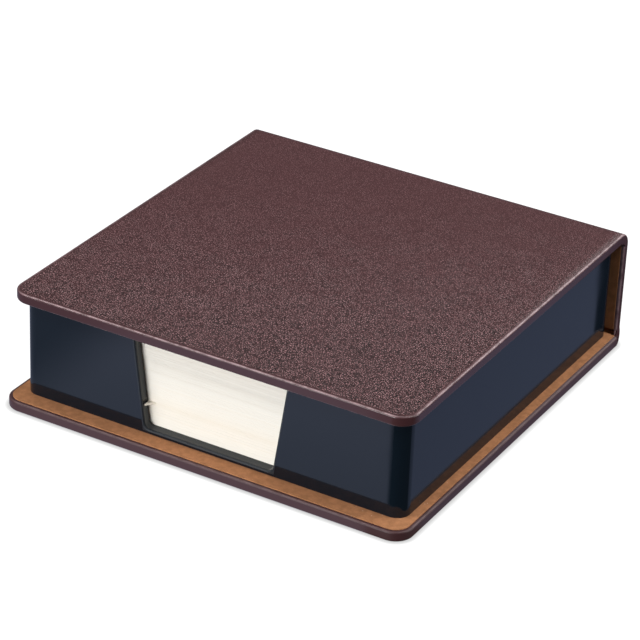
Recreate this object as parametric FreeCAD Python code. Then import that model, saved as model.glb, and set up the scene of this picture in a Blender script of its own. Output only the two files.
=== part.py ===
import FreeCAD, Part
import math
import os

# Memo sheet box, bound like a book.  Three greyboard panels (base, spine and lid) are wrapped in one
# sheet of leatherette, which is also the hinge at both edges of the spine, and lined with suede paper.
# A moulded tray with a thumb notch is taped to the base and holds a block of loose memo sheets.
#
# Frame: millimetres, +Z up, +X to the right along the front, +Y towards the spine.
# Origin: centre of the box's outline, at the underside that rests on the desk.

# --- memo sheets ---------------------------------------------------------------------------------
SHEET = 90.0                 # side of the square memo sheet
LOWER_STACK = 5.4            # height of the sheets under the loose ones
LOOSE_SHEETS = 0.4           # height of the few sheets that have slipped out of line
TOP_ROOM = 1.5               # top sheet to the tray's rim
STACK_SLIP = 0.5             # how far the lower and the upper stack lie apart sideways

# --- tray, moulded in one piece --------------------------------------------------------------------
WALL = 2.4                   # tray wall
FLOOR = 1.0                  # tray floor
TRAY_HEIGHT = 24.0           # from the tray's underside to its rim
TRAY_CORNER = 3.3            # outer radius of the tray's upright corners
POCKET_CORNER = 0.9          # inner radius of the same corners
RIM_ROUND = 0.4              # rounding of the rim and of the notch's outer edge
SIDE_ROOM = 2.1              # sheet to side wall
FRONT_ROOM = 0.3             # sheet to front wall
BACK_ROOM = 7.0              # sheet to back wall, where a finger lifts the sheets

# --- thumb notch in the front wall ---------------------------------------------------------------------
NOTCH_FOOT = 33.4            # width of the notch at the tray's floor
NOTCH_LEAN = 0.135           # how far each side leans out, per unit of height
NOTCH_CORNER = 1.5           # radius of the notch's lower corners

# --- wrapped panels ------------------------------------------------------------------------------------
GREYBOARD = 2.0              # board inside the base and the lid
SPINE_BOARD = 1.5            # thinner board inside the spine
LEATHER = 0.25               # leatherette, outside and turned in over the board's edges
LINING = 0.2                 # suede paper inside
TURN_IN = 12.0               # width of leatherette folded over onto the inner face
LINING_SETBACK = 0.9         # bare leatherette between the lining and the panel's edge
EDGE_ROUND = 0.6             # rounding of the wrapped edges
PANEL_CORNER = 4.5           # plan radius of the front corners of base and lid
WINDOW_CORNER = 2.25         # plan radius of the bare window between the turn-ins
HINGE_ROUND = 3.6            # outer radius of the leatherette where it bends round a hinge

# --- how they sit together -------------------------------------------------------------------------------
SIDE_SQUARE = 3.0            # how far the base stands out past the tray at each side
FRONT_SQUARE = 5.0           # and at the front
LID_SIDE_SETBACK = 1.1       # lid and spine are cut this much narrower than the base, per side
LID_FRONT_SETBACK = 2.1      # and the lid this much shorter at the front
SPINE_GAP = 0.4              # tray's back wall to the spine's lining
LID_GAP = 0.2                # tray's rim to the closed lid's lining

# --- tape under the tray -----------------------------------------------------------------------------------
TAPE_WIDTH = 10.0
TAPE_END_GAP = 3.0           # tape's ends to the turned-in leatherette
TAPE_PITCH = 30.0            # between the centre lines of neighbouring strips

# --- worked out from the above -----------------------------------------------------------------------
PANEL = GREYBOARD + 2 * LEATHER                       # thickness of a wrapped edge
SPINE_PANEL = SPINE_BOARD + 2 * LEATHER
TRAY_WIDTH = SHEET + 2 * (SIDE_ROOM + WALL)
TRAY_DEPTH = SHEET + FRONT_ROOM + BACK_ROOM + 2 * WALL
BASE_WIDTH = TRAY_WIDTH + 2 * SIDE_SQUARE
LID_WIDTH = BASE_WIDTH - 2 * LID_SIDE_SETBACK
DEPTH = FRONT_SQUARE + TRAY_DEPTH + SPINE_GAP + LINING + SPINE_PANEL
FRONT = -DEPTH / 2                                    # base's front edge
BACK = DEPTH / 2                                      # spine's outer face
HINGE_LINE = BACK - HINGE_ROUND                       # where base and lid panels end
LID_FRONT = FRONT + LID_FRONT_SETBACK
TRAY_FRONT = FRONT + FRONT_SQUARE
TRAY_BACK = TRAY_FRONT + TRAY_DEPTH
TRAY_FOOT = PANEL + LINING                            # height of the tray's underside
TRAY_RIM = TRAY_FOOT + TRAY_HEIGHT
LID_LINING = TRAY_RIM + LID_GAP                       # lowest face of the closed lid
LID_INNER = LID_LINING + LINING
HEIGHT = LID_INNER + PANEL
SPINE_FOOT = HINGE_ROUND                              # where the bends meet the spine
SPINE_HEAD = HEIGHT - HINGE_ROUND
SPINE_FACE = BACK - SPINE_PANEL                       # inner face of the spine's leatherette
SHEET_FRONT = TRAY_FRONT + WALL + FRONT_ROOM
STACK_FOOT = TRAY_FOOT + FLOOR                        # where the sheets rest on the tray's floor
LOOSE_FOOT = STACK_FOOT + LOWER_STACK
UPPER_FOOT = LOOSE_FOOT + LOOSE_SHEETS
STACK_HEAD = TRAY_RIM - TOP_ROOM
PAST = 1.0                                            # how far a cutting tool stands out of the work
SAME = 1e-6                                           # two sizes nearer than this are the same

Z = FreeCAD.Vector(0, 0, 1)


def at(x, y, z):
    return FreeCAD.Vector(x, y, z)


def box(x0, x1, y0, y1, z0, z1):
    """A block between two corners."""
    return Part.makeBox(x1 - x0, y1 - y0, z1 - z0, at(x0, y0, z0))


def outline(half_width, y0, y1, front_radius, back_radius, z):
    """A closed wire in plan: a rectangle with its own radius at the front and at the back corners.

    A radius of nought leaves the corner square.
    """
    lean = math.sqrt(0.5)
    corners = [(-half_width, y0, front_radius, -1, -1), (half_width, y0, front_radius, 1, -1),
               (half_width, y1, back_radius, 1, 1), (-half_width, y1, back_radius, -1, 1)]
    edges = []
    stops = []
    for x, y, radius, side, end in corners:
        middle = at(x - side * radius, y - end * radius, z)
        along_x = middle + at(0, end * radius, 0)
        along_y = middle + at(side * radius, 0, 0)
        first, last = (along_y, along_x) if side * end > 0 else (along_x, along_y)
        bow = middle + at(side * radius * lean, end * radius * lean, 0)
        stops.append((first, bow, last))
    for number, (first, bow, last) in enumerate(stops):
        if not first.isEqual(last, SAME):
            edges.append(Part.Arc(first, bow, last).toShape())
        edges.append(Part.makeLine(last, stops[(number + 1) % len(stops)][0]))
    return Part.Wire(edges)


def plate(half_width, y0, y1, z0, z1, front_radius, back_radius=0):
    """A flat plate with rounded corners in plan, square at the back unless a radius is given."""
    face = Part.Face(outline(half_width, y0, y1, front_radius, back_radius, z0))
    return face.extrude(at(0, 0, z1 - z0))


def turned_over(shape, height):
    """The same shape upside down, mirrored about the box's mid height, for the lid."""
    return shape.mirror(at(0, 0, height / 2), Z)


# --- flat panels: the base, and the lid as its mirror image -------------------------------------------
def panel_board(half_width, front):
    """Greyboard core, one leatherette thickness inside the wrapped edges; its back end is bare."""
    return plate(half_width - LEATHER, front + LEATHER, HINGE_LINE, LEATHER, LEATHER + GREYBOARD,
                 PANEL_CORNER - LEATHER)


def panel_cover(half_width, front, board):
    """Leatherette round the board: whole outer face, three wrapped edges and their turn-ins."""
    block = plate(half_width, front, HINGE_LINE, 0, PANEL, PANEL_CORNER)
    wrapped = [e for e in block.Edges
               if e.BoundBox.ZLength < SAME and e.BoundBox.YMin < HINGE_LINE - SAME]
    block = block.makeFillet(EDGE_ROUND, wrapped)
    window = plate(half_width - TURN_IN, front + TURN_IN, HINGE_LINE + PAST, LEATHER + GREYBOARD,
                   PANEL + PAST, WINDOW_CORNER)
    return block.cut(board).cut(window)


def panel_lining(half_width, front):
    """Suede paper over the turn-ins, stepping down onto the board inside them."""
    top = PANEL + LINING
    radius = PANEL_CORNER - LINING_SETBACK
    sheet = plate(half_width - LINING_SETBACK, front + LINING_SETBACK, HINGE_LINE, PANEL, top, radius)
    well = plate(half_width - TURN_IN, front + TURN_IN, HINGE_LINE, LEATHER + GREYBOARD, PANEL,
                 WINDOW_CORNER)
    hollow = plate(half_width - TURN_IN - LINING, front + TURN_IN + LINING, HINGE_LINE + PAST,
                   LEATHER + GREYBOARD + LINING, top + PAST, WINDOW_CORNER - LINING)
    return sheet.fuse(well).cut(hollow).removeSplitter()


# --- spine --------------------------------------------------------------------------------------------
def spine_board():
    half = LID_WIDTH / 2 - LEATHER
    return box(-half, half, SPINE_FACE + LEATHER, BACK - LEATHER, SPINE_FOOT, SPINE_HEAD)


def spine_cover(board):
    """Leatherette over the spine's outer face and round its two ends, turned in behind."""
    half = LID_WIDTH / 2
    block = box(-half, half, SPINE_FACE, BACK, SPINE_FOOT, SPINE_HEAD)
    upright = [e for e in block.Edges if e.BoundBox.ZLength > SAME]
    block = block.makeFillet(EDGE_ROUND, upright)
    window = box(TURN_IN - half, half - TURN_IN, SPINE_FACE - PAST, SPINE_FACE + LEATHER,
                 SPINE_FOOT - PAST, SPINE_HEAD + PAST)
    return block.cut(board).cut(window)


def spine_lining():
    """Suede paper behind the spine, over the turn-ins and down onto the board between them."""
    half = LID_WIDTH / 2 - LINING_SETBACK
    inner = LID_WIDTH / 2 - TURN_IN
    sheet = box(-half, half, SPINE_FACE - LINING, SPINE_FACE, SPINE_FOOT, SPINE_HEAD)
    well = box(-inner, inner, SPINE_FACE, SPINE_FACE + LEATHER, SPINE_FOOT, SPINE_HEAD)
    hollow = box(LINING - inner, inner - LINING, SPINE_FACE - LINING - PAST,
                 SPINE_FACE + LEATHER - LINING, SPINE_FOOT - PAST, SPINE_HEAD + PAST)
    return sheet.fuse(well).cut(hollow).removeSplitter()


# --- hinges -------------------------------------------------------------------------------------------
def bend(half_width, outer, thickness):
    """A sheet bent a quarter round between the base's end and the spine's foot."""
    y, z = HINGE_LINE, HINGE_ROUND
    inner = outer - thickness
    lean = math.sqrt(0.5)
    rim = [Part.Arc(at(0, y, z - outer), at(0, y + outer * lean, z - outer * lean),
                    at(0, y + outer, z)).toShape(),
           Part.makeLine(at(0, y + outer, z), at(0, y + inner, z)),
           Part.Arc(at(0, y + inner, z), at(0, y + inner * lean, z - inner * lean),
                    at(0, y, z - inner)).toShape(),
           Part.makeLine(at(0, y, z - inner), at(0, y, z - outer))]
    section = Part.Face(Part.Wire(rim))
    section.translate(at(-half_width, 0, 0))
    return section.extrude(at(2 * half_width, 0, 0))


def tapered_room(half_base, half_spine):
    """A wedge that is as wide as the base at its end and as wide as the spine at its foot.

    Its sides lean evenly on the way up the bend, from the base's lower edge to the spine's outer face.
    """
    past_half = half_spine - (half_base - half_spine) * PAST / HINGE_ROUND
    before_half = half_base + (half_base - half_spine) * PAST / HINGE_ROUND
    foot = at(0, HINGE_LINE - PAST, -PAST)
    head = at(0, BACK + PAST, HINGE_ROUND + PAST)
    across = at(0, HINGE_ROUND, -HINGE_ROUND)
    rim = Part.makePolygon([foot + at(-before_half, 0, 0), foot + at(before_half, 0, 0),
                            head + at(past_half, 0, 0), head + at(-past_half, 0, 0),
                            foot + at(-before_half, 0, 0)])
    rim.translate(across)
    return Part.Face(rim).extrude(across * -2)


def hinge_cover(half_panel):
    """Leatherette between a panel and the spine: two thicknesses, as it is turned in at both ends."""
    half_spine = LID_WIDTH / 2
    strip = bend(half_panel, HINGE_ROUND, 2 * LEATHER)
    if half_panel - half_spine > SAME:
        strip = strip.common(tapered_room(half_panel, half_spine))
    return strip


def hinge_lining():
    """Suede paper folded down into the joint, from the base's lining round to the spine's."""
    half = LID_WIDTH / 2 - LINING_SETBACK
    outer = HINGE_ROUND - 2 * LEATHER
    tuck = 2 * LEATHER + LINING / 2
    wall = box(-half, half, HINGE_LINE, HINGE_LINE + LINING, tuck, PANEL + LINING)
    tongue = box(-half, half, SPINE_FACE - LINING, BACK - tuck, SPINE_FOOT - LINING, SPINE_FOOT)
    return bend(half, outer, LINING).fuse(wall).fuse(tongue).removeSplitter()


# --- tray ---------------------------------------------------------------------------------------------
def notch_tool():
    """Trapezium with rounded lower corners, standing across the front wall."""
    y = TRAY_FRONT - PAST
    foot = TRAY_FOOT + FLOOR
    top = TRAY_RIM + PAST
    half_foot = NOTCH_FOOT / 2
    half_top = half_foot + NOTCH_LEAN * (top - foot)
    rim = Part.makePolygon([at(-half_foot, y, foot), at(half_foot, y, foot),
                            at(half_top, y, top), at(-half_top, y, top), at(-half_foot, y, foot)])
    tool = Part.Face(rim).extrude(at(0, WALL + 2 * PAST, 0))
    lower = [e for e in tool.Edges if e.BoundBox.YLength > WALL and abs(e.CenterOfMass.z - foot) < SAME]
    return tool.makeFillet(NOTCH_CORNER, lower)


def tray():
    half = TRAY_WIDTH / 2
    body = plate(half, TRAY_FRONT, TRAY_BACK, TRAY_FOOT, TRAY_RIM, TRAY_CORNER, TRAY_CORNER)
    pocket = plate(half - WALL, TRAY_FRONT + WALL, TRAY_BACK - WALL, TRAY_FOOT + FLOOR, TRAY_RIM + PAST,
                   POCKET_CORNER, POCKET_CORNER)
    body = body.cut(pocket).cut(notch_tool())
    lip = [e for e in body.Edges
           if abs(e.BoundBox.YMin - TRAY_FRONT) < SAME and abs(e.BoundBox.YMax - TRAY_FRONT) < SAME
           and abs(e.CenterOfMass.x) < NOTCH_FOOT and TRAY_FOOT + FLOOR / 2 < e.CenterOfMass.z < TRAY_RIM]
    rim = [e for e in body.Edges
           if abs(e.BoundBox.ZMin - TRAY_RIM) < SAME and abs(e.BoundBox.ZMax - TRAY_RIM) < SAME]
    lip = [e for e in lip if e.BoundBox.ZMin < TRAY_RIM - RIM_ROUND]
    return body.makeFillet(RIM_ROUND, rim + lip)


def tape(number):
    """A strip of double-sided tape between the tray's floor and the lining, in the lining's well."""
    middle = number * TAPE_PITCH
    return box(middle - TAPE_WIDTH / 2, middle + TAPE_WIDTH / 2,
               FRONT + TURN_IN + LINING + TAPE_END_GAP, TRAY_BACK - TURN_IN,
               LEATHER + GREYBOARD + LINING, TRAY_FOOT)


def sheets(foot, head, slip):
    """A block of memo sheets, lying a little to one side of the middle."""
    return box(slip - SHEET / 2, slip + SHEET / 2, SHEET_FRONT, SHEET_FRONT + SHEET, foot, head)


def main():
    base_half = BASE_WIDTH / 2
    lid_half = LID_WIDTH / 2
    base_board = panel_board(base_half, FRONT)
    lid_board = panel_board(lid_half, LID_FRONT)
    back_board = spine_board()
    pieces = {
        "base_board": base_board,
        "base_cover": panel_cover(base_half, FRONT, base_board),
        "base_lining": panel_lining(base_half, FRONT),
        "spine_board": back_board,
        "spine_cover": spine_cover(back_board),
        "spine_lining": spine_lining(),
        "lid_board": turned_over(lid_board, HEIGHT),
        "lid_cover": turned_over(panel_cover(lid_half, LID_FRONT, lid_board), HEIGHT),
        "lid_lining": turned_over(panel_lining(lid_half, LID_FRONT), HEIGHT),
        "lower_hinge_cover": hinge_cover(base_half),
        "lower_hinge_lining": hinge_lining(),
        "upper_hinge_cover": turned_over(hinge_cover(lid_half), HEIGHT),
        "upper_hinge_lining": turned_over(hinge_lining(), HEIGHT),
        "tray": tray(),
        "sheets_lower": sheets(STACK_FOOT, LOOSE_FOOT, STACK_SLIP / 2),
        "sheets_loose": sheets(LOOSE_FOOT, UPPER_FOOT, 0),
        "sheets_upper": sheets(UPPER_FOOT, STACK_HEAD, -STACK_SLIP / 2),
    }
    for number, side in ((-1, "left"), (0, "middle"), (1, "right")):
        pieces["tray_tape_" + side] = tape(number)
    os.makedirs("parts", exist_ok=True)
    for name, shape in pieces.items():
        solid = shape.Solids[0] if len(shape.Solids) == 1 else shape
        solid.exportStep("parts/" + name + ".step")
        print(f"{name:20s} solids {len(shape.Solids)} valid {shape.isValid()} volume {shape.Volume:10.2f}")
    print(f"box {BASE_WIDTH:.2f} x {DEPTH:.2f} x {HEIGHT:.2f}, tray {TRAY_WIDTH:.2f} x {TRAY_DEPTH:.2f}")


main()
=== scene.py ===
import math
import random

import bmesh
import bpy
from mathutils import Matrix, Vector


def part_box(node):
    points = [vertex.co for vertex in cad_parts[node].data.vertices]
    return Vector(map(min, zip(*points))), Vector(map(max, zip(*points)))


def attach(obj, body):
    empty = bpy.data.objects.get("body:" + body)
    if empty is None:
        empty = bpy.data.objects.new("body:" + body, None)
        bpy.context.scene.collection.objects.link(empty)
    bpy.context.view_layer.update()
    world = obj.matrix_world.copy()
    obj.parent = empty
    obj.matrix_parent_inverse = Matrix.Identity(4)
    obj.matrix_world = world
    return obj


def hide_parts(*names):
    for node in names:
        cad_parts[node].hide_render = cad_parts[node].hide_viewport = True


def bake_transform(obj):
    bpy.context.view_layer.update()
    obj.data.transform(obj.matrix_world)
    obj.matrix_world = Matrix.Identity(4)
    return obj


bl_info = {
    "name": "Memo Sheet Box",
    "version": (1, 0, 0),
    "blender": (4, 5, 0),
    "location": "View3D > Sidebar > Memo Box",
    "description": "Builds the looks of a book-style memo sheet box around its construction model",
    "category": "Object",
}

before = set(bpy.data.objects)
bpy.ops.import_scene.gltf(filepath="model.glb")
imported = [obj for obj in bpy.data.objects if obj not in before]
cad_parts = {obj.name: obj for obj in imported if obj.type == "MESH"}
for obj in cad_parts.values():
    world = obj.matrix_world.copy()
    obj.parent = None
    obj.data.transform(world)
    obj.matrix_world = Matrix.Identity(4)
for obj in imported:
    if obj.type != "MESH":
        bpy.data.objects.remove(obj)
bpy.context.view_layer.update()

MM = 0.001
PLACE = {name: [Vector(corner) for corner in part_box(name)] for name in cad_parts}

# --- sizes that the construction model fixes, in metres -------------------------------------------
BASE_LOW, BASE_HIGH = PLACE["base_cover"]
LID_LOW, LID_HIGH = PLACE["lid_cover"]
SPINE_LOW, SPINE_HIGH = PLACE["spine_cover"]
LINING_HIGH = PLACE["base_lining"][1]
TRAY_LOW = PLACE["tray"][0]
PANEL = BASE_HIGH.z                          # thickness of a wrapped panel
HEIGHT = LID_HIGH.z
HINGE_LINE = BASE_HIGH.y                     # where the base and lid panels end
BACK = SPINE_HIGH.y                          # outer face of the spine
BEND = BACK - HINGE_LINE                     # outer radius of the leatherette round a hinge
SPINE_PANEL = BACK - SPINE_LOW.y             # thickness of the wrapped spine
LINING = LINING_HIGH.z - PANEL               # thickness of the suede paper
LEATHER = PLACE["base_board"][0].z           # thickness of the leatherette
SETBACK = BASE_HIGH.x - LINING_HIGH.x        # bare leatherette beside the lining
STACK_LOW = PLACE["sheets_lower"][0].z       # the tray's floor, where the sheets rest
STACK_HIGH = PLACE["sheets_upper"][1].z

# --- how finely the roundings are made ------------------------------------------------------------
EDGE_STEPS = 5                               # facets across the rounding of a wrapped edge
CORNER_STEPS = 14                            # facets round a panel's corner in plan
BEND_STEPS = 10                              # facets round a hinge


# === settings that a user would change ============================================================
class LeatherSettings(bpy.types.PropertyGroup):
    colour: bpy.props.FloatVectorProperty(
        name="Colour", description="Dye of the leatherette", subtype="COLOR", size=3, min=0, max=1,
        default=(0.064, 0.0225, 0.0245))
    # painted shade: the pits between the pebbles are coloured darker to stand in for the shade in
    # them
    pit_shade_colour: bpy.props.FloatVectorProperty(
        name="Pit colour", description="Darker dye down between the pebbles", subtype="COLOR",
        size=3, min=0, max=1, default=(0.006, 0.0005, 0.001))
    # painted highlight: the pebbles' tops are coloured pale to stand in for the light that they
    # catch
    tip_highlight_colour: bpy.props.FloatVectorProperty(
        name="Tip colour", description="Rubbed tops of the pebbles", subtype="COLOR", size=3,
        min=0, max=1, default=(0.360, 0.195, 0.203))
    edge_colour: bpy.props.FloatVectorProperty(
        name="Edge colour", description="Where it is stretched smooth over a panel's edge",
        subtype="COLOR", size=3, min=0, max=1, default=(0.048, 0.018, 0.020))
    pebble: bpy.props.FloatProperty(
        name="Pebble size", description="Width of one pebble of the grain", unit="LENGTH",
        default=0.46 * MM, min=0.1 * MM, max=5 * MM, precision=5)
    grain_depth: bpy.props.FloatProperty(
        name="Grain depth", description="Height of the pebbles", unit="LENGTH",
        default=0.30 * MM, min=0, max=2 * MM, precision=5)
    fade: bpy.props.FloatProperty(
        name="Smooth band", description="Width beside an edge where the grain is pressed flat",
        unit="LENGTH", default=0.9 * MM, min=0, max=10 * MM, precision=5)
    corner: bpy.props.FloatProperty(
        name="Panel corner", description="Plan radius of the front corners", unit="LENGTH",
        default=4.5 * MM, min=0.5 * MM, max=20 * MM, precision=5)
    # painted highlight: a pale line along a panel's top edges stands in for the light that the
    # rounded edge catches
    edge_highlight_colour: bpy.props.FloatVectorProperty(
        name="Rubbed edge colour", description="Paler line where a panel's edges are rubbed",
        subtype="COLOR", size=3, min=0, max=1, default=(0.275, 0.180, 0.189))
    edge_round: bpy.props.FloatProperty(
        name="Edge rounding", description="Rounding of the wrapped edges", unit="LENGTH",
        default=0.5 * MM, min=0.1 * MM, max=1.2 * MM, precision=5)
    turn_in: bpy.props.FloatProperty(
        name="Turn-in", description="Leatherette folded over onto the inner face", unit="LENGTH",
        default=12 * MM, min=5 * MM, max=25 * MM, precision=5)


class LiningSettings(bpy.types.PropertyGroup):
    colour: bpy.props.FloatVectorProperty(
        name="Colour", description="Suede paper", subtype="COLOR", size=3, min=0, max=1,
        default=(0.42, 0.190, 0.087))
    nap: bpy.props.FloatProperty(
        name="Nap size", description="Size of the cloudy marks in the nap", unit="LENGTH",
        default=1.6 * MM, min=0.2 * MM, max=10 * MM, precision=5)


class TraySettings(bpy.types.PropertyGroup):
    colour: bpy.props.FloatVectorProperty(
        name="Colour", description="Moulded plastic", subtype="COLOR", size=3, min=0, max=1,
        default=(0.0030, 0.0070, 0.0120))
    roughness: bpy.props.FloatProperty(
        name="Roughness", description="How dull the moulded faces are", default=0.07, min=0, max=1)


class SheetSettings(bpy.types.PropertyGroup):
    colour: bpy.props.FloatVectorProperty(
        name="Colour", description="Memo paper", subtype="COLOR", size=3, min=0, max=1,
        default=(0.945, 0.925, 0.865))
    # a warmer, darker paper tone: it varies at random from sheet to sheet, is stronger near the
    # loose sheets, and is painted shade that grows towards the bottom of the stack
    warm_tone_and_shade_colour: bpy.props.FloatVectorProperty(
        name="Warm colour", description="Paper seen deep between two sheets", subtype="COLOR",
        size=3, min=0, max=1, default=(0.90, 0.83, 0.71))
    thickness: bpy.props.FloatProperty(
        name="Sheet thickness", description="Thickness of one memo sheet", unit="LENGTH",
        default=0.1 * MM, min=0.05 * MM, max=0.5 * MM, precision=5)
    slip: bpy.props.FloatProperty(
        name="Slip", description="How far neighbouring sheets lie out of line", unit="LENGTH",
        default=0.02 * MM, min=0, max=0.25 * MM, precision=5)


class StageSettings(bpy.types.PropertyGroup):
    contact: bpy.props.FloatProperty(
        name="Contact shade", description="Width of the shade on the floor round the base",
        unit="LENGTH", default=1.6 * MM, min=0, max=20 * MM, precision=5)
    light: bpy.props.FloatProperty(
        name="Soft boxes", description="Power in watts, of which each soft box has its share",
        default=5.0, min=0, max=500)
    room_light: bpy.props.FloatProperty(
        name="Room light", description="Strength of the even light all round",
        default=0.36, min=0, max=5)
    lens: bpy.props.FloatProperty(
        name="Lens", description="Focal length on a 36 mm sensor, in millimetres",
        default=163.02, min=20, max=400)


# === tools for modelling ==========================================================================
def nothing_selected():
    if bpy.context.mode != "OBJECT":
        bpy.ops.object.mode_set(mode="OBJECT")
    bpy.ops.object.select_all(action="DESELECT")


def only(piece):
    """Select one object and make it active."""
    nothing_selected()
    piece.select_set(True)
    bpy.context.view_layer.objects.active = piece
    return piece


def settle(piece):
    """Move an object's place, turn and scale into its mesh."""
    only(piece)
    bpy.ops.object.transform_apply(location=True, rotation=True, scale=True)
    return piece


def block(name, low, high):
    """A block between two corners."""
    nothing_selected()
    low, high = Vector(low), Vector(high)
    bpy.ops.mesh.primitive_cube_add(size=1, location=(low + high) / 2, scale=high - low)
    piece = bpy.context.active_object
    piece.name = piece.data.name = name
    return settle(piece)


def edit(piece):
    only(piece)
    bpy.ops.object.mode_set(mode="EDIT")
    bpy.ops.mesh.select_all(action="DESELECT")


def done():
    bpy.ops.object.mode_set(mode="OBJECT")


def pick(kind, test):
    """In edit mode, select the vertices, edges or faces that pass the test."""
    bpy.ops.mesh.select_mode(type=kind)
    bpy.ops.mesh.select_all(action="DESELECT")
    data = bpy.context.active_object.data
    mesh = bmesh.from_edit_mesh(data)
    for item in {"VERT": mesh.verts, "EDGE": mesh.edges, "FACE": mesh.faces}[kind]:
        item.select_set(bool(test(item)))
    mesh.select_flush_mode()
    bmesh.update_edit_mesh(data)


def middle(edge):
    return (edge.verts[0].co + edge.verts[1].co) / 2


def span(edge):
    """How far an edge runs along X, Y and Z."""
    step = edge.verts[1].co - edge.verts[0].co
    return Vector((abs(step.x), abs(step.y), abs(step.z)))


NEAR = 0.001 * MM


def upright(edge):
    size = span(edge)
    return size.x < NEAR and size.y < NEAR


def level(edge, *heights):
    """True if an edge lies flat at one of the heights."""
    return span(edge).z < NEAR and min(abs(middle(edge).z - h) for h in heights) < NEAR


def round_edges(radius, segments, test):
    """In edit mode, round the edges that pass the test."""
    pick("EDGE", test)
    bpy.ops.mesh.bevel(offset=radius, offset_type="OFFSET", segments=segments, profile=0.5,
                       affect="EDGES", clamp_overlap=False)


def apply(piece, kind, **settings):
    """Add a modifier, set it and apply it."""
    only(piece)
    modifier = piece.modifiers.new(kind.lower(), kind)
    for key, value in settings.items():
        setattr(modifier, key, value)
    bpy.ops.object.modifier_apply(modifier=modifier.name)
    return piece


def cut_away(piece, tool):
    """Cut a tool's shape out of a piece, and throw the tool away."""
    apply(piece, "BOOLEAN", operation="DIFFERENCE", solver="EXACT", object=tool)
    bpy.data.objects.remove(tool)
    return piece


def upside_down(piece):
    """Turn a piece over about the box's mid height, as the lid is to the base."""
    edit(piece)
    bpy.ops.mesh.select_all(action="SELECT")
    bpy.ops.transform.resize(value=(1, 1, -1), center_override=(0, 0, HEIGHT / 2))
    bpy.ops.mesh.normals_make_consistent(inside=False)
    done()
    return piece


def smooth(piece, angle=35):
    """Shade the rounded edges smooth and keep the flat faces flat."""
    only(piece)
    bpy.ops.object.shade_smooth_by_angle(angle=math.radians(angle))
    return apply(piece, "WEIGHTED_NORMAL", keep_sharp=True, weight=100)


def dress(piece, material, body, slot, *nodes):
    """Give a piece its finish and its body, and hide the nodes that it stands for. The slot is not
    used.
    """
    piece.data.materials.clear()
    piece.data.materials.append(material)
    if body:
        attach(piece, body)
    if nodes:
        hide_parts(*nodes)
    return piece


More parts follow.
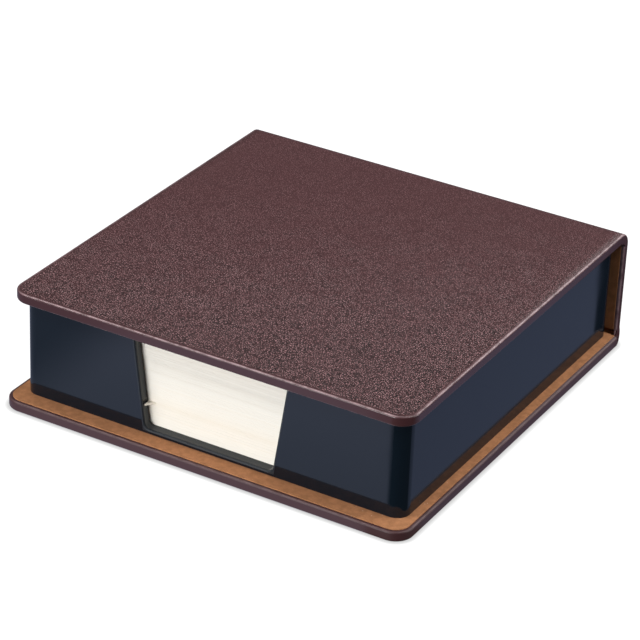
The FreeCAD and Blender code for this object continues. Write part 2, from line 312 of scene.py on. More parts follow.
# === tools for finishes ===========================================================================
class Patterns:
    """Patterns built from nodes, in a material's tree or in the world's."""

    def __init__(self, tree, place):
        self.tree = tree
        self.place = self.node("ShaderNodeTexCoord").outputs[place]

    def node(self, kind, **settings):
        node = self.tree.nodes.new(kind)
        for key, value in settings.items():
            setattr(node, key, value)
        return node

    def link(self, source, socket):
        if isinstance(source, (int, float, tuple, list)):
            socket.default_value = source
        else:
            self.tree.links.new(source, socket)

    def math(self, operation, *values):
        node = self.node("ShaderNodeMath", operation=operation)
        for value, socket in zip(values, node.inputs):
            self.link(value, socket)
        return node.outputs[0]

    def parts(self, vector):
        node = self.node("ShaderNodeSeparateXYZ")
        self.link(vector, node.inputs[0])
        return node.outputs

    def stretched(self, scale):
        """The place scaled by its own amount along each axis."""
        node = self.node("ShaderNodeMapping", vector_type="POINT")
        self.link(self.place, node.inputs["Vector"])
        node.inputs["Scale"].default_value = scale
        return node.outputs[0]

    def clouds(self, size, detail=2.0, rough=0.5, warp=0.0):
        node = self.node("ShaderNodeTexNoise")
        self.link(self.place, node.inputs["Vector"])
        node.inputs["Scale"].default_value = 1 / size
        node.inputs["Detail"].default_value = detail
        node.inputs["Roughness"].default_value = rough
        node.inputs["Distortion"].default_value = warp
        return node.outputs["Fac"]

    def cells(self, size, feature="F1", place=None, randomness=1.0):
        node = self.node("ShaderNodeTexVoronoi", feature=feature)
        self.link(place or self.place, node.inputs["Vector"])
        node.inputs["Scale"].default_value = 1 / size
        node.inputs["Randomness"].default_value = randomness
        return node.outputs["Distance"]

    def between(self, value, low, high, out_low=0.0, out_high=1.0):
        """A smooth step of value from low to high."""
        node = self.node("ShaderNodeMapRange", interpolation_type="SMOOTHSTEP")
        for part, socket in zip((value, low, high, out_low, out_high), node.inputs):
            self.link(part, socket)
        return node.outputs[0]

    def mix(self, factor, first, second):
        node = self.node("ShaderNodeMix", data_type="RGBA")
        self.link(factor, node.inputs["Factor"])
        for colour, socket in ((first, node.inputs[6]), (second, node.inputs[7])):
            self.link((*colour, 1.0) if isinstance(colour, tuple) else colour, socket)
        return node.outputs[2]

    def bump(self, height, distance, strength=1.0, normal=None):
        node = self.node("ShaderNodeBump")
        node.inputs["Distance"].default_value = distance
        self.link(strength, node.inputs["Strength"])
        self.link(height, node.inputs["Height"])
        if normal is not None:
            self.link(normal, node.inputs["Normal"])
        return node.outputs[0]

    def add(self, *values):
        total = values[0]
        for value in values[1:]:
            total = self.math("ADD", total, value)
        return total

    def times(self, *values):
        total = values[0]
        for value in values[1:]:
            total = self.math("MULTIPLY", total, value)
        return total

    def shifted(self, size, amount, place):
        """The place pushed about by noise of this size, so that a pattern wanders."""
        noise = self.node("ShaderNodeTexNoise")
        self.link(place, noise.inputs["Vector"])
        noise.inputs["Scale"].default_value = 1 / size
        noise.inputs["Detail"].default_value = 1.0
        step = self.node("ShaderNodeVectorMath", operation="MULTIPLY_ADD")
        self.link(noise.outputs["Color"], step.inputs[0])
        step.inputs[1].default_value = (2 * amount,) * 3
        self.link(place, step.inputs[2])
        return step.outputs[0]

    def past_line(self, through, degrees):
        """Distance to the left of a line on the floor, through a point in a direction."""
        x, y, _ = self.parts(self.place)
        lean = math.radians(degrees)
        return self.add(self.times(x, -math.sin(lean)), self.times(y, math.cos(lean)),
                        through[0] * math.sin(lean) - through[1] * math.cos(lean))

    def outside(self, half_width, front, back, corner):
        """Distance outside a rectangle with rounded corners in plan; less than nought inside it."""
        x, y, _ = self.parts(self.place)
        middle_y = (front + back) / 2
        side = self.math("SUBTRACT", self.math("ABSOLUTE", x), half_width - corner)
        end = self.math("SUBTRACT", self.math("ABSOLUTE", self.math("SUBTRACT", y, middle_y)),
                        (back - front) / 2 - corner)
        squares = (self.math("POWER", self.math("MAXIMUM", part, 0.0), 2.0) for part in (side, end))
        reach = self.math("POWER", self.add(*squares), 0.5)
        inner = self.math("MINIMUM", self.math("MAXIMUM", side, end), 0.0)
        return self.add(reach, inner, -corner)


class Finish(Patterns):
    """A node material, built from its shader back to its patterns."""

    def __init__(self, name):
        self.material = bpy.data.materials.new(name)
        self.material.use_nodes = True
        super().__init__(self.material.node_tree, "Object")
        self.shader = self.tree.nodes["Principled BSDF"]

    def set(self, **values):
        for key, value in values.items():
            socket = self.shader.inputs[key.replace("_", " ").title()]
            self.link((*value, 1.0) if isinstance(value, tuple) else value, socket)


# the leatherette's grain is pebbles and wrinkles added up, and the heights below are in that sum
PEBBLE_STRETCH = (1.0, 0.72, 1.0)            # pebbles are longer from front to back
PEBBLE_SHARE, WRINKLE_SHARE = 0.5, 0.9
PIT_SHADE_HEIGHTS = 0.54, 0.68                     # the painted shade in the pits gives way to the plain dye
TIP_HIGHLIGHT_HEIGHTS = 0.84, 0.96                     # the plain dye gives way to the painted highlight on the tips
SHINE_HEIGHTS = 0.45, 1.0                    # the pits are duller than the tips
LEATHER_ROUGHNESS = 0.26
LEATHER_SHINE = 0.34                         # strength of the leatherette's mirror-like light
LEAST_GRAIN = 0.25                           # strength of the grain at the back, beside the front
WORN_SLANT = 0.4                             # how far the fading of the grain leans to the left
SHOULDER = 0.7 * MM, 2.2 * MM                # width of the rolled side edges, at the front and back
ROLL_DEPTH = 0.50 * MM


def leather_finish(name, half_width, front, dull=0.0, rubbing_and_highlight=1.0):
    """Pebbled leatherette, pressed smooth at the edges of a panel of this size, with a painted
    highlight line along them.
    """
    sizes = bpy.context.scene.memo_leather
    look = Finish(name)
    x, y, _ = look.parts(look.place)
    beside = look.math("SUBTRACT", half_width, look.math("ABSOLUTE", x))
    far = 2 * BACK
    inside = look.times(look.outside(half_width, front, far, sizes.corner), -1.0)
    flat = look.between(inside, sizes.edge_round, sizes.edge_round + sizes.fade)
    backward = look.between(y, front, BACK)

    wandering = look.shifted(1.3 * sizes.pebble, 0.22 * sizes.pebble,
                             place=look.stretched(PEBBLE_STRETCH))
    ridges = look.cells(sizes.pebble, feature="DISTANCE_TO_EDGE", place=wandering, randomness=0.85)
    pebbles = look.between(ridges, 0.0, 0.30)
    wrinkles = look.clouds(0.8 * sizes.pebble, detail=2.0, rough=0.55, warp=0.8)
    grain = look.add(look.times(pebbles, PEBBLE_SHARE), look.times(wrinkles, WRINKLE_SHARE))
    patches = look.clouds(6 * MM, detail=2.0)
    well_worn = look.between(look.add(y, look.times(x, -WORN_SLANT)),
                             front - WORN_SLANT * half_width, BACK, 1.0, LEAST_GRAIN)
    strength = look.times(look.between(patches, 0.30, 0.72, 0.7, 1.0), well_worn)
    depth = look.times(flat, strength)

    # painted shade in the pits and painted highlight on the tips, both put into the colour
    pit_shade = look.times(look.between(grain, *PIT_SHADE_HEIGHTS, 1.0, 0.0), strength)
    dye_shade_and_highlight = look.mix(pit_shade, tuple(sizes.colour), tuple(sizes.pit_shade_colour))
    tip_highlights = look.times(look.between(grain, *TIP_HIGHLIGHT_HEIGHTS), strength)
    dye_shade_and_highlight = look.mix(tip_highlights, dye_shade_and_highlight, tuple(sizes.tip_highlight_colour))
    colour = look.mix(flat, tuple(sizes.edge_colour), dye_shade_and_highlight)
    # painted highlight: a pale line along the top edges, broken up unevenly and fainter at the
    # front corners
    ridge = 0.3 * sizes.edge_round
    reach = look.between(look.add(y, -front, look.times(beside, -1.0)), -1.0 * MM, 1.0 * MM,
                         4.0 * ridge, 6.5 * ridge)
    highlight_crest = look.times(look.between(inside, 0.1 * ridge, ridge),
                       look.between(inside, 1.2 * ridge, reach, 1.0, 0.0))
    clear = look.between(look.math("MAXIMUM", beside, look.add(y, -front)),
                         0.4 * sizes.corner, 1.1 * sizes.corner, 0.35, 1.0)
    highlight_breaks = look.clouds(2.5 * MM, detail=3.0)
    uneven_highlight = look.times(look.between(highlight_breaks, 0.30, 0.65, 0.3, 1.0), clear)
    colour = look.mix(look.times(highlight_crest, uneven_highlight, rubbing_and_highlight), colour, tuple(sizes.edge_highlight_colour))
    shoulder = look.between(beside, 0.0, look.between(backward, 0.0, 1.0, *SHOULDER))
    rolled = look.bump(shoulder, ROLL_DEPTH, look.between(backward, 0.0, 1.0, 0.1, 1.0))
    ripple = look.bump(look.clouds(5 * MM, detail=1.0), 0.15 * MM, 0.35, normal=rolled)
    gloss = look.add(LEATHER_ROUGHNESS + dull,
                     look.times(flat, look.between(grain, *SHINE_HEIGHTS, 0.18, 0.06)))
    look.set(base_color=colour, roughness=gloss,
             normal=look.bump(grain, sizes.grain_depth, depth, normal=ripple))
    look.shader.inputs["Specular IOR Level"].default_value = LEATHER_SHINE
    return look


class MEMO_OT_leather_panels(bpy.types.Operator):
    """Model the leatherette round the base and lid boards"""
    bl_idname = "memo.leather_panels"
    bl_label = "Leather panels"

    def panel(self, name, half_width, front):
        sizes = bpy.context.scene.memo_leather
        spare = 2 * sizes.corner
        cover = block(name, (-half_width, front, 0), (half_width, HINGE_LINE, PANEL))
        edit(cover)
        round_edges(sizes.corner, CORNER_STEPS,
                    lambda e: upright(e) and middle(e).y < front + NEAR)
        round_edges(sizes.edge_round, EDGE_STEPS,
                    lambda e: level(e, 0, PANEL) and middle(e).y < HINGE_LINE - NEAR)
        done()
        board = block("board_room", (LEATHER - half_width, front + LEATHER, LEATHER),
                      (half_width - LEATHER, HINGE_LINE + spare, PANEL - LEATHER))
        edit(board)
        round_edges(sizes.corner - LEATHER, CORNER_STEPS,
                    lambda e: upright(e) and middle(e).y < front + spare)
        done()
        window = block("window", (sizes.turn_in - half_width, front + sizes.turn_in, PANEL / 2),
                       (half_width - sizes.turn_in, HINGE_LINE + spare, PANEL + spare))
        return cut_away(cut_away(cover, board), window)

    def execute(self, context):
        lid_half, base_half = LID_HIGH.x, BASE_HIGH.x
        base = smooth(self.panel("base_leather", base_half, BASE_LOW.y))
        lid = smooth(upside_down(self.panel("lid_leather", lid_half, LID_LOW.y)))
        base_look = leather_finish("base_leatherette", base_half, BASE_LOW.y, dull=0.2, rubbing_and_highlight=0.25)
        lid_look = leather_finish("lid_leatherette", lid_half, LID_LOW.y)
        dress(base, base_look.material, "base", "leatherette", "base_cover")
        dress(lid, lid_look.material, "lid", "leatherette", "lid_cover")
        return {"FINISHED"}


class MEMO_OT_leather_spine(bpy.types.Operator):
    """Model the leatherette round the spine board and over both hinges"""
    bl_idname = "memo.leather_spine"
    bl_label = "Leather spine and hinges"

    def spine(self):
        sizes = bpy.context.scene.memo_leather
        half = SPINE_HIGH.x
        cover = block("spine_leather", SPINE_LOW, SPINE_HIGH)
        edit(cover)
        round_edges(sizes.edge_round, EDGE_STEPS, upright)
        done()
        spare = PANEL
        board = block("board_room", (LEATHER - half, SPINE_LOW.y + LEATHER, SPINE_LOW.z - spare),
                      (half - LEATHER, BACK - LEATHER, SPINE_HIGH.z + spare))
        window = block("window", (sizes.turn_in - half, SPINE_LOW.y - spare, SPINE_LOW.z - spare),
                       (half - sizes.turn_in, (SPINE_LOW.y + BACK) / 2, SPINE_HIGH.z + spare))
        return cut_away(cut_away(cover, board), window)

    def hinge(self, name, half_panel):
        """A strip bent a quarter round from the base's end to the spine's foot.

        Its two side ends are folded inwards, as thick as the panel beside the panel and as the
        spine beside the spine, and it narrows from the panel's width to the spine's.
        """
        sizes = bpy.context.scene.memo_leather
        half = SPINE_HIGH.x
        strip = 2 * LEATHER
        centre = Vector((0, HINGE_LINE, BEND))
        nothing_selected()
        bpy.ops.mesh.primitive_plane_add(size=1, location=(0, HINGE_LINE, strip / 2),
                                         rotation=(math.pi / 2, 0, 0))
        piece = bpy.context.active_object
        piece.name = piece.data.name = name
        piece.scale = (2 * half_panel, strip, 1)
        settle(piece)
        edit(piece)
        for side in (-1, 1):
            bpy.ops.mesh.select_all(action="SELECT")
            bpy.ops.mesh.bisect(plane_co=(side * (half_panel - SETBACK), 0, 0), plane_no=(1, 0, 0))
        pick("EDGE", lambda e: level(e, strip) and abs(middle(e).x) > half_panel - SETBACK)
        bpy.ops.mesh.extrude_region_move(TRANSFORM_OT_translate={"value": (0, 0, PANEL - strip)})
        bpy.ops.mesh.select_mode(type="FACE")
        bpy.ops.mesh.select_all(action="SELECT")
        bpy.ops.mesh.spin(steps=BEND_STEPS, angle=-math.pi / 2, center=centre, axis=(1, 0, 0))
        bpy.ops.mesh.select_all(action="SELECT")
        bpy.ops.mesh.remove_doubles(threshold=NEAR)
        bpy.ops.mesh.normals_make_consistent(inside=False)

        def outer_end(edge):
            return all(abs(abs(v.co.x) - half_panel) < NEAR
                       and abs((v.co - centre).yz.length - BEND) < NEAR for v in edge.verts)

        round_edges(sizes.edge_round, EDGE_STEPS, outer_end)

        def turned(vertex):
            """How far round the bend a vertex is, from 0 at the panel to 1 at the spine."""
            step = vertex.co - centre
            return math.atan2(step.y, -step.z) / (math.pi / 2)

        for step in range(BEND_STEPS + 1):
            way = step / BEND_STEPS
            lean = way * math.pi / 2
            narrow = (half_panel + (half - half_panel) * way) / half_panel
            thinner = (PANEL - SPINE_PANEL) * way
            pick("VERT", lambda v: abs(turned(v) - way) < 0.01
                 and abs((v.co - centre).yz.length - BEND + PANEL) < NEAR)
            bpy.ops.transform.translate(value=(0, thinner * math.sin(lean),
                                               -thinner * math.cos(lean)))
            pick("VERT", lambda v: abs(turned(v) - way) < 0.01)
            bpy.ops.transform.resize(value=(narrow, 1, 1), center_override=(0, 0, 0))
        done()
        return piece

    def execute(self, context):
        look = leather_finish("spine_leatherette", SPINE_HIGH.x, LID_LOW.y)
        dress(smooth(self.spine()), look.material, "spine", "leatherette", "spine_cover")
        lower = smooth(self.hinge("lower_hinge_leather", BASE_HIGH.x))
        dress(lower, look.material, None, "leatherette", "lower_hinge_cover")
        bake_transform(lower)
        upper = smooth(upside_down(self.hinge("upper_hinge_leather", LID_HIGH.x)))
        dress(upper, look.material, None, "leatherette", "upper_hinge_cover")
        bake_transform(upper)
        return {"FINISHED"}


RUB_SIZE = 12 * MM                           # size of the rubbed patches in the suede paper
DUSTY_X = 30 * MM, 46 * MM                   # dust comes in between these, towards the right
DUSTY_Y = -20 * MM, -40 * MM                 # and between these, towards the front
DUST_SPACING = 1.5 * MM
GRIT_SPACING = 3.7 * MM
DUST_COLOUR = (0.72, 0.55, 0.42)
GRIT_COLOUR = (0.05, 0.02, 0.01)


def lining_finish():
    """Suede paper: a soft nap with cloudy rubbed marks and a little dust near one corner."""
    sizes = bpy.context.scene.memo_lining
    look = Finish("suede_paper")
    marks = look.clouds(sizes.nap, detail=4.0, rough=0.6)
    rubbing_and_highlight = look.clouds(RUB_SIZE, detail=2.0)
    dark = tuple(c * 0.80 for c in sizes.colour)
    light = tuple(min(1.0, c * 1.12) for c in sizes.colour)
    colour = look.mix(look.between(marks, 0.30, 0.72), dark, light)
    colour = look.mix(look.between(rubbing_and_highlight, 0.35, 0.75, 0.0, 0.35), colour, light)
    x, y, _ = look.parts(look.place)
    near_corner = look.times(look.between(x, *DUSTY_X), look.between(y, *DUSTY_Y))
    specks = look.between(look.cells(DUST_SPACING), 0.10, 0.05)
    colour = look.mix(look.times(specks, near_corner, 0.8), colour, DUST_COLOUR)
    grit = look.between(look.cells(GRIT_SPACING), 0.035, 0.02)
    colour = look.mix(look.times(grit, 0.7), colour, GRIT_COLOUR)
    fuzz = look.clouds(0.12 * MM, detail=2.0, rough=0.7)
    look.set(base_color=colour, roughness=0.95, normal=look.bump(fuzz, 0.04 * MM, 0.6))
    look.shader.inputs["Specular IOR Level"].default_value = 0.15
    return look


class MEMO_OT_linings(bpy.types.Operator):
    """Finish the suede paper inside the panels and model it through both hinges"""
    bl_idname = "memo.linings"
    bl_label = "Linings"

    def execute(self, context):
        look = lining_finish()
        for name in ("base_lining", "spine_lining", "lid_lining"):
            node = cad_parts[name]
            node.data.materials.clear()
            node.data.materials.append(look.material)
        half = SPINE_HIGH.x - SETBACK
        for over in (False, True):
            name, body = ("upper", "lid") if over else ("lower", "base")
            wall = block(name + "_lining_by_" + body, (-half, HINGE_LINE, 2 * LEATHER),
                         (half, HINGE_LINE + LINING, PANEL + LINING))
            tongue = block(name + "_lining_by_spine",
                           (-half, SPINE_LOW.y - LINING, SPINE_LOW.z - LINING),
                           (half, BACK - 2 * LEATHER, SPINE_LOW.z))
            nothing_selected()
            bpy.ops.mesh.primitive_plane_add(
                size=1, location=(0, HINGE_LINE, 2 * LEATHER + LINING / 2),
                rotation=(math.pi / 2, 0, 0))
            bend = bpy.context.active_object
            bend.name = bend.data.name = name + "_hinge_suede"
            bend.scale = (2 * half, LINING, 1)
            settle(bend)
            edit(bend)
            bpy.ops.mesh.select_all(action="SELECT")
            bpy.ops.mesh.spin(steps=BEND_STEPS, angle=-math.pi / 2, center=(0, HINGE_LINE, BEND),
                              axis=(1, 0, 0))
            bpy.ops.mesh.select_all(action="SELECT")
            bpy.ops.mesh.normals_make_consistent(inside=False)
            done()
            pieces = [wall, tongue, bend]
            if over:
                pieces = [upside_down(piece) for piece in pieces]
            dress(wall, look.material, body, "lining")
            dress(tongue, look.material, "spine", "lining")
            dress(smooth(bend), look.material, None, "lining", name + "_hinge_lining")
            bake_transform(bend)
        return {"FINISHED"}


NOTCH_HALF = 16.7 * MM                       # half the notch's width at the tray's floor
NOTCH_LEAN = 0.135                           # how far its sides lean out, per unit of height
TRIM = 0.4 * MM, 0.6 * MM                    # the trimmed edge turns from matt to polished
TRIM_DEPTH = 0.5 * MM, 0.7 * MM              # and here, behind the tray's front face
TRIM_ROUGHNESS = 0.5
PLASTIC_IOR = 1.42


class MEMO_OT_tray(bpy.types.Operator):
    """Finish the moulded tray"""
    bl_idname = "memo.tray"
    bl_label = "Tray"

    def execute(self, context):
        sizes = context.scene.memo_tray
        look = Finish("moulded_plastic")
        swell = look.clouds(18 * MM, detail=1.0)
        haze = look.clouds(6 * MM, detail=3.0)
        x, y, z = look.parts(look.place)
        beside = look.add(look.math("ABSOLUTE", x),
                          look.times(look.add(z, -STACK_LOW), -NOTCH_LEAN))
        matt, polished = TRIM
        shallow, deep = TRIM_DEPTH
        trimmed = look.times(look.between(beside, NOTCH_HALF + polished, NOTCH_HALF + matt),
                             look.between(y, TRAY_LOW.y + deep, TRAY_LOW.y + shallow),
                             look.between(z, STACK_LOW - polished, STACK_LOW - matt))
        polish = look.between(haze, 0.2, 0.8, sizes.roughness * 0.8, sizes.roughness * 1.3)
        look.set(base_color=tuple(sizes.colour),
                 roughness=look.math("MAXIMUM", polish, look.times(trimmed, TRIM_ROUGHNESS)),
                 normal=look.bump(swell, 0.12 * MM, 0.3))
        look.shader.inputs["IOR"].default_value = PLASTIC_IOR
        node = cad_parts["tray"]
        node.data.materials.clear()
        node.data.materials.append(look.material)
        return {"FINISHED"}


TONGUE_TIP = -17.0 * MM                      # where the loose sheets bend into the notch
TONGUE_CUTS = -17.3 * MM, TONGUE_TIP, -15.4 * MM
TONGUE_MOVE = (-0.2 * MM, -2.0 * MM, 0)
SHEET_FILL = 0.92                            # share of a sheet's height that is paper and not air
DRIFT_KEPT = 0.85                            # share of a sheet's slip that the next one follows
SIDEWAYS = 3                                 # slip to the sides, beside that to front and back
DEEP_REACH = 1.6 * MM                        # how far the warm tone reaches from the loose sheets
SHEET_SEED = 11


class MEMO_OT_sheets(bpy.types.Operator):
    """Lay the memo sheets in the tray, one by one"""
    bl_idname = "memo.sheets"
    bl_label = "Memo sheets"

    def execute(self, context):
        sizes = context.scene.memo_sheets
        look = Finish("memo_paper")
        tone_and_shade = look.node("ShaderNodeAttribute", attribute_name="tone_and_shade").outputs["Fac"]
        fibre = look.clouds(0.4 * MM, detail=3.0)
        colour = look.mix(tone_and_shade, tuple(sizes.colour), tuple(sizes.warm_tone_and_shade_colour))
        look.set(base_color=colour, roughness=0.9, normal=look.bump(fibre, 0.02 * MM, 0.3))
        look.shader.inputs["Specular IOR Level"].default_value = 0.2
        draw = random.Random(SHEET_SEED)
        for name in ("sheets_lower", "sheets_loose", "sheets_upper"):
            low, high = PLACE[name]
            count = max(1, round((high.z - low.z) / sizes.thickness))
            thick = (high.z - low.z) / count
            sheet = block("memo_" + name, low, Vector((high.x, high.y, low.z + SHEET_FILL * thick)))
            edit(sheet)
            for x in TONGUE_CUTS:
                bpy.ops.mesh.select_all(action="SELECT")
                bpy.ops.mesh.bisect(plane_co=(x, 0, 0), plane_no=(1, 0, 0))
            if name == "sheets_loose":
                pick("VERT", lambda v: abs(v.co.x - TONGUE_TIP) < NEAR and v.co.y < low.y + NEAR)
                bpy.ops.transform.translate(value=TONGUE_MOVE)
            done()
            sheet.data.attributes.new("tone_and_shade", "FLOAT", "POINT")
            copies = []
            drift = 0.0
            for number in range(count):
                copy = sheet.copy()
                copy.data = sheet.data.copy()
                context.collection.objects.link(copy)
                drift = DRIFT_KEPT * drift + draw.uniform(-1, 1) * sizes.slip
                shift = Vector((draw.uniform(-1, 1) * SIDEWAYS * sizes.slip, drift, number * thick))
                for vertex in copy.data.vertices:
                    vertex.co += shift
                height = low.z + number * thick
                deep = math.exp(-abs(height - PLACE["sheets_loose"][0].z) / DEEP_REACH)
                # painted shade: the lower sheets get more of the warm colour, so the stack is
                # darker towards the bottom
                painted_shade_low_down = 1 - (height - STACK_LOW) / (STACK_HIGH - STACK_LOW)
                tint = draw.uniform(0.0, 0.25) + 0.35 * deep + 0.25 * painted_shade_low_down
                tints = copy.data.attributes["tone_and_shade"].data
                tints.foreach_set("value", [tint] * len(tints))
                copies.append(copy)
            bpy.data.objects.remove(sheet)
            only(copies[0])
            for copy in copies:
                copy.select_set(True)
            bpy.ops.object.join()
            stack = bpy.context.active_object
            stack.name = stack.data.name = "memo_" + name
            dress(stack, look.material, "base", "memo_paper", name)
        return {"FINISHED"}


BOARD_COLOURS = (0.24, 0.22, 0.19), (0.38, 0.35, 0.31)
TAPE_COLOURS = (0.62, 0.60, 0.52), (0.72, 0.70, 0.62)


class MEMO_OT_hidden_parts(bpy.types.Operator):
    """Finish the greyboards and the tape, which show only when the box comes apart"""
    bl_idname = "memo.hidden_parts"
    bl_label = "Boards and tape"

    def execute(self, context):
        board = Finish("greyboard")
        pulp = board.clouds(0.8 * MM, detail=4.0, rough=0.7)
        board.set(base_color=board.mix(pulp, *BOARD_COLOURS), roughness=0.95)
        tape = Finish("tape")
        streaks = tape.clouds(2 * MM, detail=2.0)
        tape.set(base_color=tape.mix(streaks, *TAPE_COLOURS), roughness=0.35)
        for name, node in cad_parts.items():
            look = board if name.endswith("_board") else tape if "tape" in name else None
            if look:
                node.data.materials.clear()
                node.data.materials.append(look.material)
        return {"FINISHED"}


# === stage ========================================================================================
CAMERA_PLACE = Vector((289.75, -516.79, 336.45)) * MM
CAMERA_AZIMUTH = math.radians(29.354)        # how far the camera has gone round to the right
CAMERA_ELEVATION = math.radians(28.554)
CAMERA_ROLL = math.radians(2.472)

# each soft box: name, direction to it, distance, size, and its share of the soft boxes' power
LAMPS = (
    ("key_light", (-0.43, -0.47, 0.77), 0.9, (0.30, 0.24), 0.6),
    ("top_light", (-0.10, 0.15, 1.00), 0.9, (0.5, 0.5), 0.45),
    ("side_light", (0.60, 0.05, 0.80), 0.9, (0.5, 0.5), 0.8),
    ("rim_light", (0.36, 0.77, 0.52), 0.9, (0.6, 0.3), 0.5),
    ("front_light", (-0.20, -0.97, 0.08), 1.0, (0.5, 0.25), 1.55),
    ("right_light", (0.92, 0.38, 0.08), 1.0, (0.5, 0.25), 0.55),
)


FLOOR_SIZE = 6                               # side of the floor, in metres
SHADE = 0.58                                 # brightness of the floor where the base rests on it
BOUNCE_DEPTH = 0.5 * MM                      # how far the light from the floor lies under it

# the lines on the floor where that light changes: a point on each, and its direction in degrees
FRONT_LINE = (46.2 * MM, -49.8 * MM), -117.4
RIGHT_LINE = (49.5 * MM, -46.7 * MM), 22
BEHIND_LINE = (49.5 * MM, 43.6 * MM), 66.8
NEAR_GLOW, RIGHT_GLOW = (0.06, 0.06, 0.07), (0.250, 0.290, 0.455)
BEHIND_GLOW, FRONT_GLOW = (0.02, 0.02, 0.03), (0.84, 0.90, 1.22)
LEFT_GLOW = (0.30, 0.33, 0.46)
LEFT_REACH = -40 * MM, -65 * MM              # the left glow takes over between these
FRONT_REACH = -52 * MM, -95 * MM             # and the light grows to full between these

DARK_SIDE = 0.669, -0.743                    # direction in plan of the room's dark side
MIRROR_SIDE = -0.49, 0.872                   # and of the dim side across from it
DARK_LIGHT = 0.05                            # light from the darkest part of the room


def aimed(place, target):
    """The turn that makes a light at place shine at target."""
    return (Vector(target) - Vector(place)).to_track_quat("-Z", "Y").to_euler()


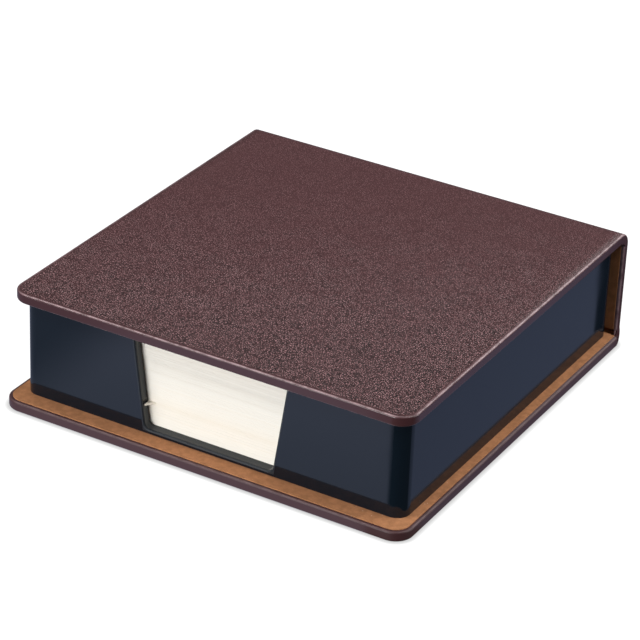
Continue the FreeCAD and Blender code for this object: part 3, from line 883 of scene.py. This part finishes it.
class MEMO_OT_stage(bpy.types.Operator):
    """Set up the floor, the lights and the camera"""
    bl_idname = "memo.stage"
    bl_label = "Stage"

    def lamp(self, name, direction, distance, size, power):
        data = bpy.data.lights.new(name, "AREA")
        data.shape = "RECTANGLE"
        data.size, data.size_y = size
        data.energy = power
        lamp = bpy.data.objects.new(name, data)
        lamp.location = Vector(direction).normalized() * distance
        lamp.rotation_euler = aimed(lamp.location, (0, 0, 0))
        bpy.context.scene.collection.objects.link(lamp)

    def ground(self, name, height):
        nothing_selected()
        bpy.ops.mesh.primitive_plane_add(size=FLOOR_SIZE, location=(0, 0, height))
        plane = bpy.context.active_object
        plane.name = plane.data.name = name
        settle(plane)
        look = Finish(name)
        look.material.cycles.emission_sampling = "NONE"
        look.shader.inputs["Specular IOR Level"].default_value = 0
        plane.data.materials.append(look.material)
        return plane, look

    def floor(self, sizes):
        """The pale floor that is seen, with the thin shade where the base rests on it."""
        floor, look = self.ground("floor", 0)
        away = look.outside(BASE_HIGH.x, BASE_LOW.y, BACK, bpy.context.scene.memo_leather.corner)
        lit = look.between(away, -0.2 * MM, sizes.contact, SHADE, 1.0)
        tint = look.mix(look.clouds(300 * MM), (0.98, 0.98, 0.98), (1.0, 1.0, 1.0))
        look.set(base_color=(0.12, 0.12, 0.12), roughness=0.9,
                 emission_color=tint, emission_strength=lit)
        floor.visible_glossy = floor.visible_diffuse = floor.visible_shadow = False

    def bounce(self):
        """The light that the floor sends back up: bright in front, dim to the right."""
        plane, look = self.ground("bounce", -BOUNCE_DEPTH)
        x, y, _ = look.parts(look.place)
        front = look.times(look.between(look.past_line(*FRONT_LINE), 0, -1 * MM),
                           look.between(y, TRAY_LOW.y + 1 * MM, TRAY_LOW.y))
        right = look.between(look.past_line(*RIGHT_LINE), -1 * MM, 1 * MM)
        behind = look.between(look.past_line(*BEHIND_LINE), -0.3 * MM, 0.3 * MM)
        left = look.between(x, *LEFT_REACH)
        beyond = look.between(y, *FRONT_REACH, 0.80, 1.0)
        glow = look.mix(right, NEAR_GLOW, RIGHT_GLOW)
        glow = look.mix(behind, glow, BEHIND_GLOW)
        glow = look.mix(front, glow, FRONT_GLOW)
        glow = look.mix(left, glow, LEFT_GLOW)
        look.set(base_color=(0, 0, 0), emission_color=glow, emission_strength=beyond)
        plane.visible_camera = plane.visible_diffuse = plane.visible_shadow = False

    def room(self, sizes):
        """Even light from the room, with a dark side low down and a dim one across from it."""
        world = bpy.data.worlds.new("room")
        world.use_nodes = True
        bpy.context.scene.world = world
        look = Patterns(world.node_tree, "Generated")
        x, y, z = look.parts(look.place)
        towards = look.add(*(look.times(part, way) for part, way in zip((x, y), DARK_SIDE)))
        low = look.between(z, 0.55, 0.95, 1.0, 0.0)
        dark = look.times(look.between(towards, 0.0, 0.30), low)
        behind = look.add(*(look.times(part, way) for part, way in zip((x, y), MIRROR_SIDE)))
        mirror = look.times(look.between(behind, 0.45, 0.75), look.between(z, 0.60, 0.85, 1.0, 0.0))
        light = look.between(look.math("MAXIMUM", dark, look.times(mirror, 0.6)), 0.0, 1.0,
                             sizes.room_light, DARK_LIGHT)
        seen = look.node("ShaderNodeLightPath").outputs["Is Camera Ray"]
        shade = world.node_tree.nodes["Background"]
        shade.inputs["Color"].default_value = (1, 1, 1, 1)
        look.link(look.math("MAXIMUM", light, seen), shade.inputs["Strength"])

    def execute(self, context):
        scene = context.scene
        sizes = scene.memo_stage
        self.floor(sizes)
        self.bounce()
        self.room(sizes)
        for name, direction, distance, size, share in LAMPS:
            self.lamp(name, direction, distance, size, share * sizes.light)

        data = bpy.data.cameras.new("camera")
        data.sensor_width = 36
        data.lens = sizes.lens
        data.clip_start = 0.01
        camera = bpy.data.objects.new("camera", data)
        turn = (Matrix.Rotation(CAMERA_AZIMUTH, 3, "Z")
                @ Matrix.Rotation(math.pi / 2 - CAMERA_ELEVATION, 3, "X")
                @ Matrix.Rotation(CAMERA_ROLL, 3, "Z"))
        camera.matrix_world = Matrix.Translation(CAMERA_PLACE) @ turn.to_4x4()
        scene.collection.objects.link(camera)
        scene.camera = camera
        scene.view_settings.view_transform = "Standard"
        return {"FINISHED"}


# === panel and start ==============================================================================
SETTINGS = {
    "memo_leather": LeatherSettings, "memo_lining": LiningSettings, "memo_tray": TraySettings,
    "memo_sheets": SheetSettings, "memo_stage": StageSettings,
}
OPERATORS = (MEMO_OT_leather_panels, MEMO_OT_leather_spine, MEMO_OT_linings, MEMO_OT_tray,
             MEMO_OT_sheets, MEMO_OT_hidden_parts, MEMO_OT_stage)


class MEMO_PT_box(bpy.types.Panel):
    bl_label = "Memo Box"
    bl_idname = "MEMO_PT_box"
    bl_space_type = "VIEW_3D"
    bl_region_type = "UI"
    bl_category = "Memo Box"

    def draw(self, context):
        for group in SETTINGS:
            settings = getattr(context.scene, group)
            column = self.layout.column(align=True)
            for name in settings.bl_rna.properties.keys():
                if name not in ("rna_type", "name"):
                    column.prop(settings, name)
        for operator in OPERATORS:
            self.layout.operator(operator.bl_idname)


def register():
    for name, group in SETTINGS.items():
        bpy.utils.register_class(group)
        setattr(bpy.types.Scene, name, bpy.props.PointerProperty(type=group))
    for item in (*OPERATORS, MEMO_PT_box):
        bpy.utils.register_class(item)


def unregister():
    for item in reversed((*OPERATORS, MEMO_PT_box)):
        bpy.utils.unregister_class(item)
    for name, group in SETTINGS.items():
        delattr(bpy.types.Scene, name)
        bpy.utils.unregister_class(group)


def main():
    register()
    for operator in OPERATORS:
        group, name = operator.bl_idname.split(".")
        getattr(getattr(bpy.ops, group), name)()


if __name__ == "__main__":
    main()
